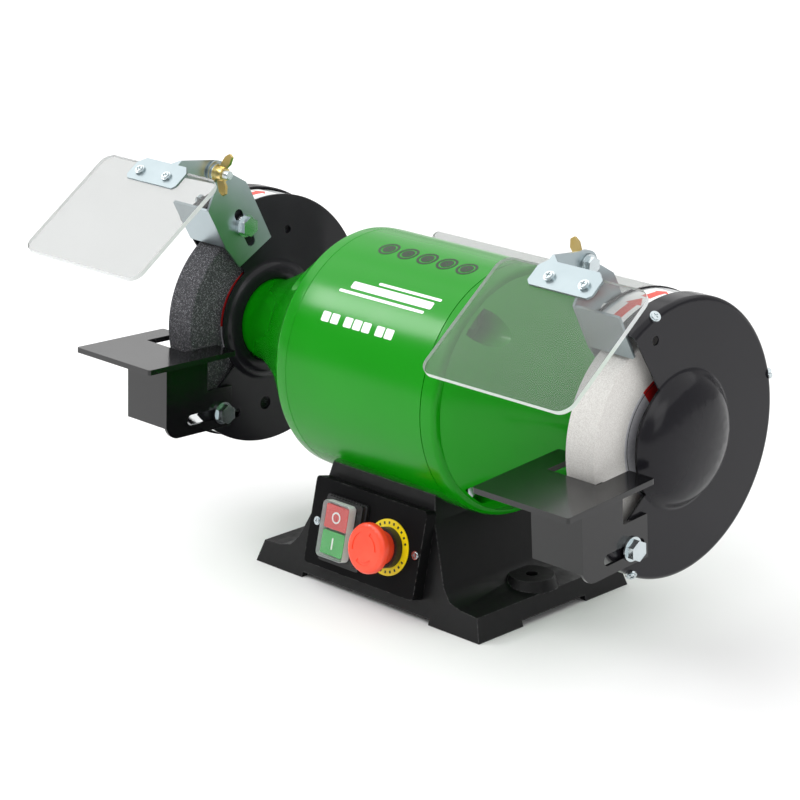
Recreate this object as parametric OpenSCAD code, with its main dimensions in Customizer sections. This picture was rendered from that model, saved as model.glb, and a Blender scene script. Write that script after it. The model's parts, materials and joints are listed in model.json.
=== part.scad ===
// Bench grinder with two wheels, guards, eye shields, tool rests and a pedestal base.
// X runs along the spindle, -Y is the operator side, +Z is up.
// The origin is the centre of the base underside.

/* [Main sizes] */
// height of the spindle centre above the bench
spindle_height = 155.5; // [140:0.5:180]
// length of the base along the spindle
base_length = 225; // [190:1:260]
// depth of the base from front to back
base_depth = 156; // [140:1:180]
// height of the pedestal at its front edge
pedestal_height = 87.5; // [80:0.5:95]
// depth of the pedestal top from front to back
pedestal_depth = 115; // [100:1:130]
// wall of the cast base
base_wall = 5; // [4:0.5:8]

/* [Motor] */
// outer radius of the motor tube
motor_radius = 89; // [80:0.5:95]
// half length of the motor tube
motor_half = 66; // [55:1:80]
// wall of the motor tube
tube_wall = 3.7; // [3:0.1:6]
// outer end of the bell hub
hub_end = 179; // [170:0.5:190]

/* [Wheels and guards] */
// grinding wheel diameter
wheel_diameter = 150; // [125:1:150]
// grinding wheel width
wheel_width = 25; // [16:1:25]
// distance of the inner wheel face from the middle
wheel_start = 184.5; // [183:0.5:190]
// radius of the inner guard disc
guard_radius = 95; // [90:0.5:100]
// thickness of the guard sheet
guard_sheet = 1.5; // [1:0.1:2]
// outer face of the guard cover
cover_face = 221.2; // [218:0.1:225]

/* [Adjustments] */
// tilt of the right tool rest
right_tilt = 3.87; // [-1:0.01:6]
// tilt of the left tool rest
left_tilt = -2.24; // [-3:0.01:6]
// how far the left tool rest stands further out than the right one
left_rest_out = 7; // [0:0.5:9]
// slope of the right eye shield
right_shield_slope = 37.6; // [20:0.1:60]
// slope of the left eye shield
left_shield_slope = 34.9; // [20:0.1:60]
// how far the left shield is set towards the motor, as a negative number
left_shield_shift = -9; // [-10:0.5:0]

/* [Hidden] */
$fn = 96;
front_slope = atan((base_depth - pedestal_depth) / 2 / pedestal_height);
wheel_end = wheel_start + wheel_width;
wheel_radius = wheel_diameter / 2;
disc_start = hub_end + 0.1;
disc_end = disc_start + guard_sheet;
band_outer = 94;
band_inner = band_outer - guard_sheet;
cover_inner = band_outer + 1;
cover_outer = cover_inner + 1.3;
cover_rim_start = 205.5;
cover_back = cover_face - guard_sheet;
edge_radius = 4;
band_end = cover_face - edge_radius;
opening_end = 219;
outlet_start = 186;
outlet_width = 18;
outlet_front = -13;
outlet_back = 58;
outlet_low = spindle_height - 95.2;
hub_radius = 31;
core_radius = 12.5;
journal_radius = 10;
end_radius = 8;
bearing_start = 125;
bearing_width = 14;
bearing_radius = 23.5;
seat_radius = bearing_radius + 0.05;
ball_circle = 16.75;
ball_radius = 3;
through_radius = 78;
through_angles = [50, 130, 230, 310];
stator_half = 28;
rotor_half = 27;
pocket_radius = 82.4;
bench_hole_x = 90;
bench_hole_radius = 4.5;
boss_top = 24;
foot_recess = 4;
panel_length = 110;
panel_low = 15;
panel_high = 79;
panel_thick = 10;
panel_screw_x = [-47, 51];
switch_x = -19;
boot_x = -20;
estop_x = 24.2;
estop_s = 45.9;
rest_bolt_y = -52.5;
rest_bolt_z = spindle_height - 62;
rest_shift = -400.3;
bolt_radius = 4;
run_gap = 0.05;
pivot_y = -52;
pivot_z = spindle_height + 121.7;
pivot_radius = 3;
bracket_start = 176.9;
bracket_end = 178.9;
ear_start = 179.1;
ear_end = 181.1;
flange_low = [-43.4, 64.7];
flange_high = [-59.5, 95.1];
flange_angle = atan2(flange_high[1] - flange_low[1], flange_high[0] - flange_low[0]);
bracket_bolt_at = [-27.1, 77.8];
shield_low = 24;
shield_thick = 3.5;
shield_edge = -26;
tab_low = shield_low + shield_thick;
tab_thick = 1.8;
screen_y = 112;

green = [0.16, 0.62, 0.12];
black = [0.1, 0.1, 0.11];
zinc = [0.75, 0.79, 0.79];
steel = [0.6, 0.61, 0.63];
red = [0.85, 0.15, 0.1];
clear = [0.85, 0.9, 0.92, 0.45];

// --- helpers ---

// a flat outline in Y and Z, made solid from x0 to x1
module yz(x0, x1) {
    translate([x0, 0, 0])
        rotate([90, 0, 90])
            linear_extrude(x1 - x0)
                children();
}

// an outline in radius and X, spun round the spindle axis
module spin() {
    translate([0, 0, spindle_height])
        rotate([90, 0, 90])
            rotate_extrude()
                children();
}

// a round bar or tube along X, centred on the spindle axis
module ring_x(x0, x1, outer, inner = 0) {
    spin()
        translate([inner, x0])
            square([outer - inner, x1 - x0]);
}

// a round bar along X at any Y and Z
module bar_x(x0, x1, radius, y, z) {
    translate([x0, y, z])
        rotate([0, 90, 0])
            cylinder(h = x1 - x0, r = radius);
}

// a six-sided bar along X
module hex_x(x0, x1, across, y, z) {
    translate([x0, y, z])
        rotate([0, 90, 0])
            cylinder(h = x1 - x0, r = across / 2 / cos(30), $fn = 6);
}

// a rectangle with four round corners, its low corner at the origin
module rounded(width, height, radius) {
    translate([radius, 0])
        square([width - 2 * radius, height]);
    translate([0, radius])
        square([width, height - 2 * radius]);
    for (x = [radius, width - radius])
        for (y = [radius, height - radius])
            translate([x, y])
                circle(radius);
}

// the part of a disc between two angles, in Y and Z
module sector(radius, from, to) {
    reach = radius / cos((to - from) / 8);
    intersection() {
        circle(radius);
        polygon(concat([[0, 0]], [for (i = [0:4])
            let (a = from + (to - from) * i / 4)
            reach * [cos(a), sin(a)]]));
    }
}

// space on the operator side of a guard, from an inner arc outwards
module guard_opening(x0, x1, from, to, inner) {
    translate([0, 0, spindle_height])
        yz(x0, x1)
            difference() {
                sector(guard_radius + 15, from, to);
                circle(inner);
            }
}

// children placed on the sloping front face: Z runs up the slope, -Y points out
module on_front() {
    translate([0, -base_depth / 2, 0])
        rotate([-front_slope, 0, 0])
            children();
}

// a round bar that stands out of the front face
module front_bar(x, s, y0, y1, radius) {
    translate([x, y1, s])
        rotate([90, 0, 0])
            cylinder(h = y1 - y0, r = radius);
}

// a block with round corners that stands out of the front face
module front_block(x, s, width, height, y0, y1, radius) {
    translate([x - width / 2, y1, s - height / 2])
        rotate([90, 0, 0])
            linear_extrude(y1 - y0)
                rounded(width, height, radius);
}

// children and their mirror image on the other end of the spindle
module both_ends() {
    children();
    mirror([1, 0, 0])
        children();
}

// children placed at the shield pivot, with Y along the shield's slope
module at_pivot(slope) {
    translate([0, pivot_y, pivot_z])
        rotate([slope, 0, 0])
            children();
}

// --- base ---

// half of the base outline seen from the front, from the underside to the top
function base_side(inset, low) = [
    [base_length / 2 - inset, low],
    [base_length / 2 - 5.5 - inset, 16.5 - inset],
    [90.6 - inset / 2, 17.6 - inset],
    [80.2 - inset * 0.7, 20.1 - inset],
    [72.9 - inset, 27.9 - inset * 0.6],
    [60.2 - inset, 56.4 - inset * 0.4],
    [54.5 - inset, 69.2],
    [50.6 - inset, pedestal_height + 1]
];

function flipped(points) = [for (i = [len(points) - 1:-1:0]) [-points[i][0], points[i][1]]];

module base_block(inset, low) {
    side = base_side(inset, low);
    half_low = base_depth / 2 - inset * 1.1;
    half_high = pedestal_depth / 2 - inset * 1.1;
    intersection() {
        translate([0, base_depth, 0])
            rotate([90, 0, 0])
                linear_extrude(2 * base_depth)
                    polygon(concat(side, flipped(side)));
        yz(-base_length, base_length)
            polygon([[-half_low, low], [half_low, low], [half_high, pedestal_height],
                [-half_high, pedestal_height]]);
    }
}

// four points under the tube where it is bolted to its cradle
module at_cradle_bolts() {
    for (x = [-44, 44])
        for (a = [-22, 22])
            translate([x, 0, spindle_height])
                rotate([a, 0, 0])
                    children();
}

module base_casting() {
    cover_screw = [84, 50];
    color(black)
        difference() {
            union() {
                difference() {
                    base_block(0, 0);
                    difference() {
                        base_block(base_wall, -1);
                        bar_x(-base_length, base_length, motor_radius + base_wall, 0, spindle_height);
                        for (side = [-1, 1])
                            translate([side * bench_hole_x, 0, -1])
                                cylinder(h = boss_top, r = 11);
                        for (x = [-1, 1])
                            for (y = [-1, 1])
                                translate([x * cover_screw[0], y * cover_screw[1], foot_recess + 1.2])
                                    cylinder(h = boss_top, r = 5);
                    }
                }
                for (side = [-1, 1])
                    translate([side * bench_hole_x, 0, 16])
                        cylinder(h = boss_top - 16, r1 = 19.5, r2 = 16);
            }
            bar_x(-base_length, base_length, motor_radius, 0, spindle_height);
            translate([-64, -base_depth, -1])
                cube([128, 2 * base_depth, foot_recess + 1]);
            translate([-base_length, -33, -1])
                cube([base_length - bench_hole_x - 12, 66, foot_recess + 1]);
            translate([bench_hole_x + 12, -33, -1])
                cube([base_length, 66, foot_recess + 1]);
            for (side = [-1, 1])
                translate([side * bench_hole_x, 0, -1])
                    cylinder(h = boss_top + 2, r = bench_hole_radius);
            for (x = [-1, 1])
                for (y = [-1, 1])
                    translate([x * cover_screw[0], y * cover_screw[1], 0])
                        cylinder(h = 11, r = 2);
            at_cradle_bolts()
                translate([0, 0, -100])
                    cylinder(h = 20, r = 3);
            translate([-44, 0, spindle_height - 100])
                cylinder(h = 20, r = 5);
            on_front() {
                front_block(boot_x, 46.5, 32, 43, -5, 12, 2);
                front_block(estop_x, estop_s, 32, 32, -5, 12, 2);
                for (x = panel_screw_x)
                    front_bar(x, 47, -5, 4, 1.8);
            }
            on_back()
                front_bar(-30, 36, -20, 20, 9);
        }
}

// children placed on the sloping back face: Z runs up the slope, -Y points out
module on_back() {
    rotate([0, 0, 180])
        on_front()
            children();
}

module bottom_cover() {
    color(steel)
        difference() {
            translate([-92, -62, foot_recess])
                linear_extrude(1.2)
                    rounded(184, 124, 4);
            for (side = [-1, 1]) {
                translate([side * bench_hole_x, 0, 0])
                    cylinder(h = 20, r = 12);
                for (y = [-1, 1])
                    translate([side * 84, y * 50, 0])
                        cylinder(h = 20, r = 2);
            }
        }
}

module base_screws() {
    color(zinc) {
        for (x = [-1, 1])
            for (y = [-1, 1])
                translate([x * 84, y * 50, foot_recess]) {
                    translate([0, 0, -2])
                        cylinder(h = 2, r = 3.6);
                    translate([0, 0, -1])
                        cylinder(h = 7, r = 2);
                }
        at_cradle_bolts() {
            translate([0, 0, -98.2])
                cylinder(h = 4.2, r = 5.8, $fn = 6);
            translate([0, 0, -95])
                cylinder(h = 15, r = 3);
        }
    }
}

module cable_gland() {
    color(black)
        on_back()
            difference() {
                union() {
                    front_bar(-30, 36, -8, 10, 9);
                    front_bar(-30, 36, -3, 0, 12);
                    translate([-30, -3, 36])
                        rotate([90, 0, 0])
                            cylinder(h = 7, r = 11, $fn = 6);
                    translate([-30, 9.5, 36])
                        rotate([90, 0, 0])
                            cylinder(h = 4, r = 12.5, $fn = 6);
                }
                front_bar(-30, 36, -20, 20, 4);
            }
}

// --- switch box ---

module switch_panel() {
    middle = (panel_low + panel_high) / 2;
    tall = panel_high - panel_low;
    color(black)
        on_front()
            difference() {
                union() {
                    difference() {
                        front_block(0, middle, panel_length, tall, -panel_thick, 0, 3);
                        front_block(0, middle, panel_length - 4, tall - 4, 2 - panel_thick, 1, 2);
                    }
                    for (x = panel_screw_x)
                        front_bar(x, 47, 1 - panel_thick, 0, 4);
                }
                front_block(boot_x, 46.5, 28.4, 40, -20, 5, 1);
                front_bar(estop_x, estop_s, -20, 5, 11);
                for (x = panel_screw_x)
                    front_bar(x, 47, -20, 5, 2.1);
            }
}

// a pan-head cross screw that stands out of the front face
module front_screw(x, s, seat, head, shank, depth) {
    difference() {
        union() {
            front_bar(x, s, seat - head * 0.35, seat, head);
            front_bar(x, s, seat - head * 0.6, seat, head * 0.75);
            front_bar(x, s, seat - 0.5, seat + depth, shank);
        }
        for (turn = [0, 90])
            translate([x, seat - head * 0.6, s])
                rotate([0, turn, 0])
                    cube([head, head * 0.5, head * 0.22], center = true);
    }
}

module panel_screws() {
    color(zinc)
        on_front() {
            for (x = panel_screw_x)
                front_screw(x, 47, -panel_thick, 3.1, 1.8, panel_thick + 3.5);
            for (x = [-35.4, -4.1])
                front_screw(x, 46.5, -15, 1.5, 1, 4);
        }
}

module switch_frame() {
    color(black)
        on_front()
            difference() {
                union() {
                    front_block(switch_x, 45.3, 40, 48.5, -12.5, -panel_thick, 2);
                    front_block(switch_x, 46.5, 36, 44.5, -15, -12, 2);
                }
                front_block(boot_x, 46.5, 23, 37, -20, 0, 1);
                for (x = [-35.4, -4.1])
                    front_bar(x, 46.5, -20, 0, 1);
            }
}

module switch_boot() {
    color(clear)
        on_front()
            difference() {
                front_block(boot_x, 46.5, 27, 41, -22, -15, 3.5);
                front_block(boot_x, 46.5, 24.6, 38.6, -20.8, -14, 2.5);
            }
}

module stop_button() {
    color(red)
        on_front()
            front_block(boot_x, 55.9, 22, 17.2, -20, -11.5, 1.2);
}

module start_button() {
    color([0.25, 0.65, 0.3])
        on_front()
            front_block(boot_x, 37.1, 22, 17.2, -20, -11.5, 1.2);
}

module switch_body() {
    color(black)
        on_front() {
            front_block(boot_x, 46.5, 28, 39.6, -8, 24, 1);
            for (x = [-7, 0, 7])
                for (s = [36, 57])
                    translate([boot_x + x - 0.4, 23, s - 3])
                        cube([0.8, 9, 6]);
        }
}

module estop_label_ring() {
    color([0.98, 0.83, 0])
        on_front()
            difference() {
                front_bar(estop_x, estop_s, -0.8 - panel_thick, -panel_thick, 20);
                front_bar(estop_x, estop_s, -20, 0, 14.5);
            }
}

module estop_collar() {
    color(black)
        on_front()
            difference() {
                union() {
                    front_bar(estop_x, estop_s, -17, -panel_thick, 14.5);
                    front_bar(estop_x, estop_s, -11, -8, 11);
                }
                front_bar(estop_x, estop_s, -20, -11.5, 12.4);
                front_bar(estop_x, estop_s, -20, 0, 5);
            }
}

module estop_stem() {
    color(steel)
        on_front()
            front_bar(estop_x, estop_s, -24, -2, 5 - run_gap);
}

module estop_head() {
    color(red)
        on_front()
            translate([estop_x, 0, estop_s])
                rotate([90, 0, 0])
                    difference() {
                        rotate_extrude()
                            polygon([[0, 16.2], [12, 16.2], [12, 22], [14, 27], [17, 27], [18, 28],
                                [18, 31], [17, 32.8], [14.5, 34], [0, 34]]);
                        cylinder(h = 24.1, r = 5);
                        translate([0, 0, 33.4])
                            for (a = [0, 120, 240])
                                rotate([0, 0, a])
                                    linear_extrude(2)
                                        difference() {
                                            sector(12, 0, 75);
                                            circle(9.5);
                                        }
                    }
}

module contact_block() {
    color([0.2, 0.2, 0.22])
        on_front()
            difference() {
                front_block(estop_x, estop_s, 28, 28, -8, 26, 1.5);
                front_bar(estop_x, estop_s, -9, 4, 5.6);
            }
}

module capacitor() {
    color([0.8, 0.8, 0.78])
        difference() {
            union() {
                bar_x(-36, 34, 17.5, 28, 24.7);
                bar_x(33, 36, 15.5, 28, 24.7);
            }
            bar_x(-37, -35.4, 15.5, 28, 24.7);
        }
}

module capacitor_strap() {
    color(zinc) {
        difference() {
            union() {
                bar_x(-6, 6, 19, 28, 24.7);
                translate([-6, 28 - 30, foot_recess + 1.2])
                    cube([12, 60, 2]);
            }
            bar_x(-7, 7, 17.5, 28, 24.7);
            translate([-7, -10, 0])
                cube([14, 80, foot_recess + 1.2]);
        }
    }
}

module terminal_block() {
    color([0.9, 0.9, 0.85])
        difference() {
            translate([20, -22, foot_recess + 1.2])
                cube([42, 16, 15]);
            for (i = [0:3])
                translate([25.5 + i * 10.3, -14, foot_recess + 10])
                    cylinder(h = 10, r = 2.6);
        }
}

// --- motor ---

module motor_housing() {
    color(green)
        difference() {
            ring_x(-motor_half, motor_half, motor_radius, motor_radius - tube_wall);
            at_cradle_bolts()
                translate([0, 0, -100])
                    cylinder(h = 20, r = 3);
            translate([-44, 0, spindle_height - 100])
                cylinder(h = 20, r = 5);
            at_standoffs()
                cylinder(h = 100, r = 2);
        }
}

// outline of an end bell in radius and X, outside first
function bell_outline() = [
    [motor_radius - 0.6, motor_half], [motor_radius, motor_half + 0.8],
    [motor_radius - 0.4, 75.5], [motor_radius - 1.6, 77.8], [motor_radius - 3, 79],
    [83.5, 79.6], [83.5, 81], [77.5, 90], [70, 100], [62.5, 110], [55, 120], [49, 130],
    [43.5, 140], [38.5, 150], [34, 160], [hub_radius + 0.8, 166], [hub_radius, 172],
    [hub_radius, hub_end], [13, hub_end], [13, bearing_start + bearing_width],
    [seat_radius, bearing_start + bearing_width], [seat_radius, 118], [28.5, 118],
    [28.5, 133], [40, 133], [49.5, 120], [64.5, 100], [72, 90], [79.5, 80], [82.5, 75],
    [motor_radius - tube_wall, motor_half + 3], [motor_radius - tube_wall, motor_half]
];

// space just inside the bell's outer surface
module bell_envelope() {
    spin()
        polygon([[0, motor_half], [82, motor_half], [82, 80], [76.3, 90], [61.3, 110], [0, 110]]);
}

module end_bell() {
    color(green)
        difference() {
            union() {
                spin()
                    polygon(bell_outline());
                intersection() {
                    bell_envelope();
                    for (a = through_angles)
                        bar_x(motor_half + 2, 109, 15, through_radius * cos(a),
                            spindle_height + through_radius * sin(a));
                }
            }
            intersection() {
                ring_x(70, 115, pocket_radius);
                for (a = through_angles)
                    bar_x(75, 115, 12, through_radius * cos(a), spindle_height + through_radius * sin(a));
            }
            for (a = through_angles)
                bar_x(motor_half - 5, 90, 2.7, through_radius * cos(a), spindle_height + through_radius * sin(a));
            for (a = [90, 210, 330])
                bar_x(hub_end - 10, hub_end + 1, 1.5, 27.8 * cos(a), spindle_height + 27.8 * sin(a));
        }
}

module left_end_bell() {
    mirror([1, 0, 0])
        end_bell();
}

module right_end_bell() {
    end_bell();
}

module through_bolts() {
    color(zinc)
        for (a = through_angles) {
            y = through_radius * cos(a);
            z = spindle_height + through_radius * sin(a);
            bar_x(-80, 76, 2.5, y, z);
            hex_x(75, 79, 8.4, y, z);
            hex_x(-79, -75, 8.4, y, z);
        }
}

module stator_core() {
    color(steel)
        difference() {
            ring_x(-stator_half, stator_half, motor_radius - tube_wall, 52);
            for (a = through_angles)
                bar_x(-60, 60, 3.2, through_radius * cos(a), spindle_height + through_radius * sin(a));
        }
}

module stator_windings() {
    color([0.72, 0.4, 0.15])
        both_ends()
            spin()
                polygon([[54, stator_half], [74, stator_half], [74, 42], [71, 46], [57, 46], [54, 42]]);
}

module rotor_core() {
    color(steel)
        difference() {
            union() {
                ring_x(-rotor_half, rotor_half, 51.4, core_radius);
                both_ends()
                    ring_x(rotor_half, rotor_half + 7, 50, 37);
            }
            for (a = [0:30:330])
                bar_x(-60, 60, 4, 26 * cos(a), spindle_height + 26 * sin(a));
        }
}

module spindle() {
    color(steel)
        spin()
            polygon([[0, -228], [7, -228], [end_radius, -227], [end_radius, -181], [journal_radius, -181],
                [journal_radius, 0 - bearing_start], [core_radius, 0 - bearing_start],
                [core_radius, bearing_start], [journal_radius, bearing_start],
                [journal_radius, 181], [end_radius, 181], [end_radius, 227], [7, 228], [0, 228]]);
}

// ball track of a bearing, as a ring of round section
module ball_track(radius) {
    spin()
        translate([ball_circle, bearing_start + bearing_width / 2])
            circle(radius);
}

module bearing_outer_rings() {
    color(steel)
        both_ends()
            difference() {
                ring_x(bearing_start, bearing_start + bearing_width, bearing_radius, 18.9);
                ball_track(ball_radius + run_gap);
            }
}

module bearing_inner_rings() {
    color(steel)
        both_ends()
            difference() {
                ring_x(bearing_start, bearing_start + bearing_width, 14.6, journal_radius);
                ball_track(ball_radius + run_gap);
            }
}

module bearing_balls() {
    count = 9;
    color(zinc)
        both_ends()
            for (i = [0:count - 1])
                translate([bearing_start + bearing_width / 2, 0, spindle_height])
                    rotate([i * 360 / count, 0, 0])
                        translate([0, ball_circle, 0])
                            sphere(ball_radius, $fn = 32);
}

// clear strip behind the motor
module rear_screen() {
    color(clear)
        difference() {
            translate([-118, screen_y + 4, 150])
                rotate([90, 0, 0])
                    linear_extrude(4)
                        rounded(236, 65, 8);
            at_standoffs()
                cylinder(h = 200, r = 2.1);
        }
}

// children placed on the spindle axis at the two stand-offs, with Z pointing to the back
module at_standoffs() {
    for (side = [-1, 1])
        translate([side * 60, 0, spindle_height + 9.5])
            rotate([-90, 0, 0])
                children();
}

module screen_standoffs() {
    color(zinc)
        at_standoffs() {
            translate([0, 0, motor_radius])
                cylinder(h = screen_y - motor_radius, r = 5);
            translate([0, 0, motor_radius - tube_wall])
                cylinder(h = screen_y - motor_radius + 12, r = 2);
            translate([0, 0, screen_y + 4])
                cylinder(h = 2.6, r = 4);
        }
}

// --- guards ---

module inner_guard(rest_hole) {
    color(black)
        difference() {
            union() {
                spin()
                    polygon([[12, disc_end], [12, disc_start], [hub_radius + 0.4, disc_start],
                        [hub_radius + 0.4, 175.5], [33.5, 174.2], [37.5, 174], [41, 175.4],
                        [44.5, 178.4], [47.5, disc_start], [guard_radius, disc_start],
                        [guard_radius, disc_end]]);
            }
            guard_opening(disc_start - 0.5, disc_end + 1, 121, opening_end, 47);
            bar_x(170, 190, bolt_radius + run_gap, bracket_bolt_at[0], spindle_height + bracket_bolt_at[1]);
            for (a = [90, 210, 330])
                bar_x(170, 190, 1.6, 27.8 * cos(a), spindle_height + 27.8 * sin(a));
            for (hole = [[19.3, 65.6, 3], [-6.1, -65.7, 5], [-35.4, -67.1, 3.4]])
                bar_x(170, 190, hole[2], hole[0], spindle_height + hole[1]);
            if (rest_hole)
                bar_x(170, 190, bolt_radius + run_gap, rest_bolt_y, rest_bolt_z);
        }
}

module left_inner_guard() {
    mirror([1, 0, 0])
        inner_guard(true);
}

module right_inner_guard() {
    inner_guard(false);
}

// the clear space of a dust outlet from y to behind its mouth
module outlet_space(y) {
    translate([outlet_start + guard_sheet, y, outlet_low + guard_sheet])
        cube([outlet_width - 2 * guard_sheet, outlet_back + 1 - y, 23]);
}

module rim_bands() {
    color(zinc)
        both_ends()
            difference() {
                ring_x(disc_end, band_end, band_outer, band_inner);
                guard_opening(disc_end - 1, band_end + 1, 120, opening_end, 20);
                outlet_space(8);
            }
}

// outline of the cover's outer face, radius and X, from the rim to the middle
function cover_line(inset) = concat(
    [[cover_outer - inset, cover_rim_start]],
    [for (a = [0:15:90]) [cover_outer - edge_radius + (edge_radius - inset) * cos(a),
        cover_face - edge_radius + (edge_radius - inset) * sin(a)]],
    [for (p = [[49, 0], [47.5, 0.5], [46, 1.6], [44.5, 3.4], [42, 6.4], [38, 9.6], [32, 12.5],
        [24, 14.8], [13, 16.3], [0, 16.8]])
        [max(p[0] - inset * 0.7, 0), cover_face + p[1] - inset]]
);

function reversed(points) = [for (i = [len(points) - 1:-1:0]) points[i]];

module guard_cover(rest_hole) {
    color(black)
        difference() {
            spin()
                polygon(concat(cover_line(0), reversed(cover_line(cover_outer - cover_inner))));
            guard_opening(cover_rim_start - 1, cover_face + 20, 122.5, opening_end, 47);
            at_cover_screws()
                cylinder(h = 5, r = 1.6, center = true);
            bar_x(cover_back - 1, cover_face + 1, 3.2, -30.4, spindle_height + 74.1);
            if (rest_hole)
                bar_x(200, 240, bolt_radius + run_gap, rest_bolt_y, rest_bolt_z);
        }
}

module left_cover() {
    mirror([1, 0, 0])
        guard_cover(false);
}

module right_cover() {
    guard_cover(true);
}

// children placed on the cover's rounded edge at its three screws, with Z pointing out at 45 degrees
module at_cover_screws() {
    reach = edge_radius * cos(45);
    for (a = [109, 15, 240])
        translate([cover_face - edge_radius + reach, 0, spindle_height])
            rotate([a - 90, 0, 0])
                translate([0, 0, cover_outer - edge_radius + reach])
                    rotate([0, 45, 0])
                        children();
}

module guard_fasteners() {
    bolt_y = bracket_bolt_at[0];
    bolt_z = spindle_height + bracket_bolt_at[1];
    color(zinc)
        both_ends() {
            bar_x(170, disc_end + 3.2, bolt_radius, bolt_y, bolt_z);
            hex_x(168.5, 173.6, 13, bolt_y, bolt_z);
            bar_x(173.6, bracket_start - 0.1, 8.5, bolt_y, bolt_z);
            hex_x(disc_end, disc_end + 3, 13, bolt_y, bolt_z);
            for (a = [90, 210, 330]) {
                bar_x(disc_end, disc_end + 1.5, 2.7, 27.8 * cos(a), spindle_height + 27.8 * sin(a));
                bar_x(hub_end - 8, disc_end + 0.5, 1.5, 27.8 * cos(a), spindle_height + 27.8 * sin(a));
            }
            at_cover_screws()
                difference() {
                    union() {
                        cylinder(h = 1.5, r = 3.8);
                        cylinder(h = 2.4, r = 2.8);
                        translate([0, 0, -2.5])
                            cylinder(h = 3, r = 1.5);
                    }
                    for (turn = [0, 90])
                        translate([0, 0, 2.4])
                            rotate([0, 0, turn])
                                cube([3.6, 0.8, 2], center = true);
                }
        }
}

module dust_outlets() {
    color(black)
        both_ends()
            difference() {
                translate([outlet_start, outlet_front, outlet_low])
                    cube([outlet_width, outlet_back - outlet_front, 25]);
                outlet_space(outlet_front + guard_sheet);
                ring_x(180, 220, band_outer);
            }
}

// --- turning parts ---

module wheel() {
    chamfer = 0.8;
    spin()
        polygon([[end_radius, wheel_start], [wheel_radius - chamfer, wheel_start],
            [wheel_radius, wheel_start + chamfer], [wheel_radius, wheel_end - chamfer],
            [wheel_radius - chamfer, wheel_end], [end_radius, wheel_end]]);
}

module left_wheel() {
    color([0.3, 0.3, 0.32])
        mirror([1, 0, 0])
            wheel();
}

module right_wheel() {
    color([0.9, 0.89, 0.87])
        wheel();
}

module wheel_labels() {
    color([0.9, 0.9, 0.9])
        both_ends() {
            ring_x(wheel_start - 0.4, wheel_start, 45, end_radius);
            ring_x(wheel_end, wheel_end + 0.4, 45, end_radius);
        }
}

module wheel_flanges() {
    color(zinc)
        both_ends() {
            spin()
                polygon([[end_radius, 181], [14, 181], [24, 182.4], [25, wheel_start - 0.4],
                    [end_radius, wheel_start - 0.4]]);
            spin()
                polygon([[end_radius, wheel_end + 0.4], [25, wheel_end + 0.4], [25, wheel_end + 1.6],
                    [20, wheel_end + 3.5], [end_radius, wheel_end + 3.5]]);
        }
}

module spindle_nuts() {
    nut_start = wheel_end + 3.5;
    color(zinc)
        both_ends()
            difference() {
                hex_x(nut_start, nut_start + 9, 24, 0, spindle_height);
                bar_x(nut_start - 1, nut_start + 10, end_radius, 0, spindle_height);
            }
}

// --- spark brackets and eye shields ---

slide_way = [cos(flange_angle), sin(flange_angle)];

module spark_bracket() {
    slot_long = 25;
    slot_start = bracket_bolt_at - 15 * slide_way;
    slot_end = slot_start + slot_long * slide_way;
    long = norm(flange_high - flange_low);
    color(zinc)
        translate([0, 0, spindle_height]) {
            difference() {
                yz(bracket_start, bracket_end) {
                    polygon([[-45.2, 63.8], [-31.6, 46.5], [0.5, 63.7], [-18.6, 101.3],
                        [-23.8, 110.2], [-43, 121.5], [-52, 112.7], [-61.3, 94.2]]);
                    translate([pivot_y, pivot_z - spindle_height])
                        circle(9);
                }
                yz(bracket_start - 1, bracket_end + 1) {
                    translate(slot_start)
                        circle(bolt_radius + run_gap);
                    translate(slot_end)
                        circle(bolt_radius + run_gap);
                    translate(slot_start)
                        rotate(flange_angle)
                            translate([0, -bolt_radius - run_gap])
                                square([slot_long, 2 * (bolt_radius + run_gap)]);
                    translate([pivot_y, pivot_z - spindle_height])
                        circle(pivot_radius);
                }
            }
            translate([0, flange_low[0], flange_low[1]])
                rotate([flange_angle, 0, 0]) {
                    translate([bracket_start + 9, 0, 0])
                        linear_extrude(2)
                            rounded(216 - bracket_start - 9, long, 1.5);
                    translate([bracket_start, 0, 0])
                        cube([20, long, 2]);
                }
        }
}

module left_spark_bracket() {
    mirror([1, 0, 0])
        spark_bracket();
}

module right_spark_bracket() {
    spark_bracket();
}

module pivot_bolt() {
    color(zinc) {
        bar_x(163, ear_end + 2, pivot_radius, pivot_y, pivot_z);
        bar_x(ear_end + 0.1, ear_end + 1.5, 7, pivot_y, pivot_z);
        hex_x(ear_end + 1.5, ear_end + 5.8, 10, pivot_y, pivot_z);
        bar_x(bracket_start - 1.4, bracket_start, 7, pivot_y, pivot_z);
    }
}

module left_pivot_bolt() {
    mirror([1, 0, 0])
        pivot_bolt();
}

module right_pivot_bolt() {
    pivot_bolt();
}

module wing_nut() {
    nut_end = bracket_start - 1.5;
    color([0.78, 0.72, 0.4])
        difference() {
            union() {
                bar_x(nut_end - 7, nut_end, 5.2, pivot_y, pivot_z);
                for (side = [-1, 1])
                    translate([0, pivot_y, pivot_z])
                        rotate([side * 90 + 75, 0, 0])
                            translate([0, 1.1, 0])
                                rotate([90, 0, 0])
                                    linear_extrude(2.2)
                                        polygon([[nut_end - 1, 4], [nut_end - 1, 6], [nut_end - 5, 13],
                                            [nut_end - 9, 15.5], [nut_end - 12, 13.5],
                                            [nut_end - 11, 8], [nut_end - 7, 4]]);
            }
            bar_x(150, 190, pivot_radius + run_gap, pivot_y, pivot_z);
        }
}

module left_wing_nut() {
    mirror([1, 0, 0])
        wing_nut();
}

module right_wing_nut() {
    wing_nut();
}

// X of the two shield screws, measured from the middle of the arm's tab
screw_places = [-12, 17];
screw_u = shield_edge - 9;
tab_middle = 201;

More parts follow.
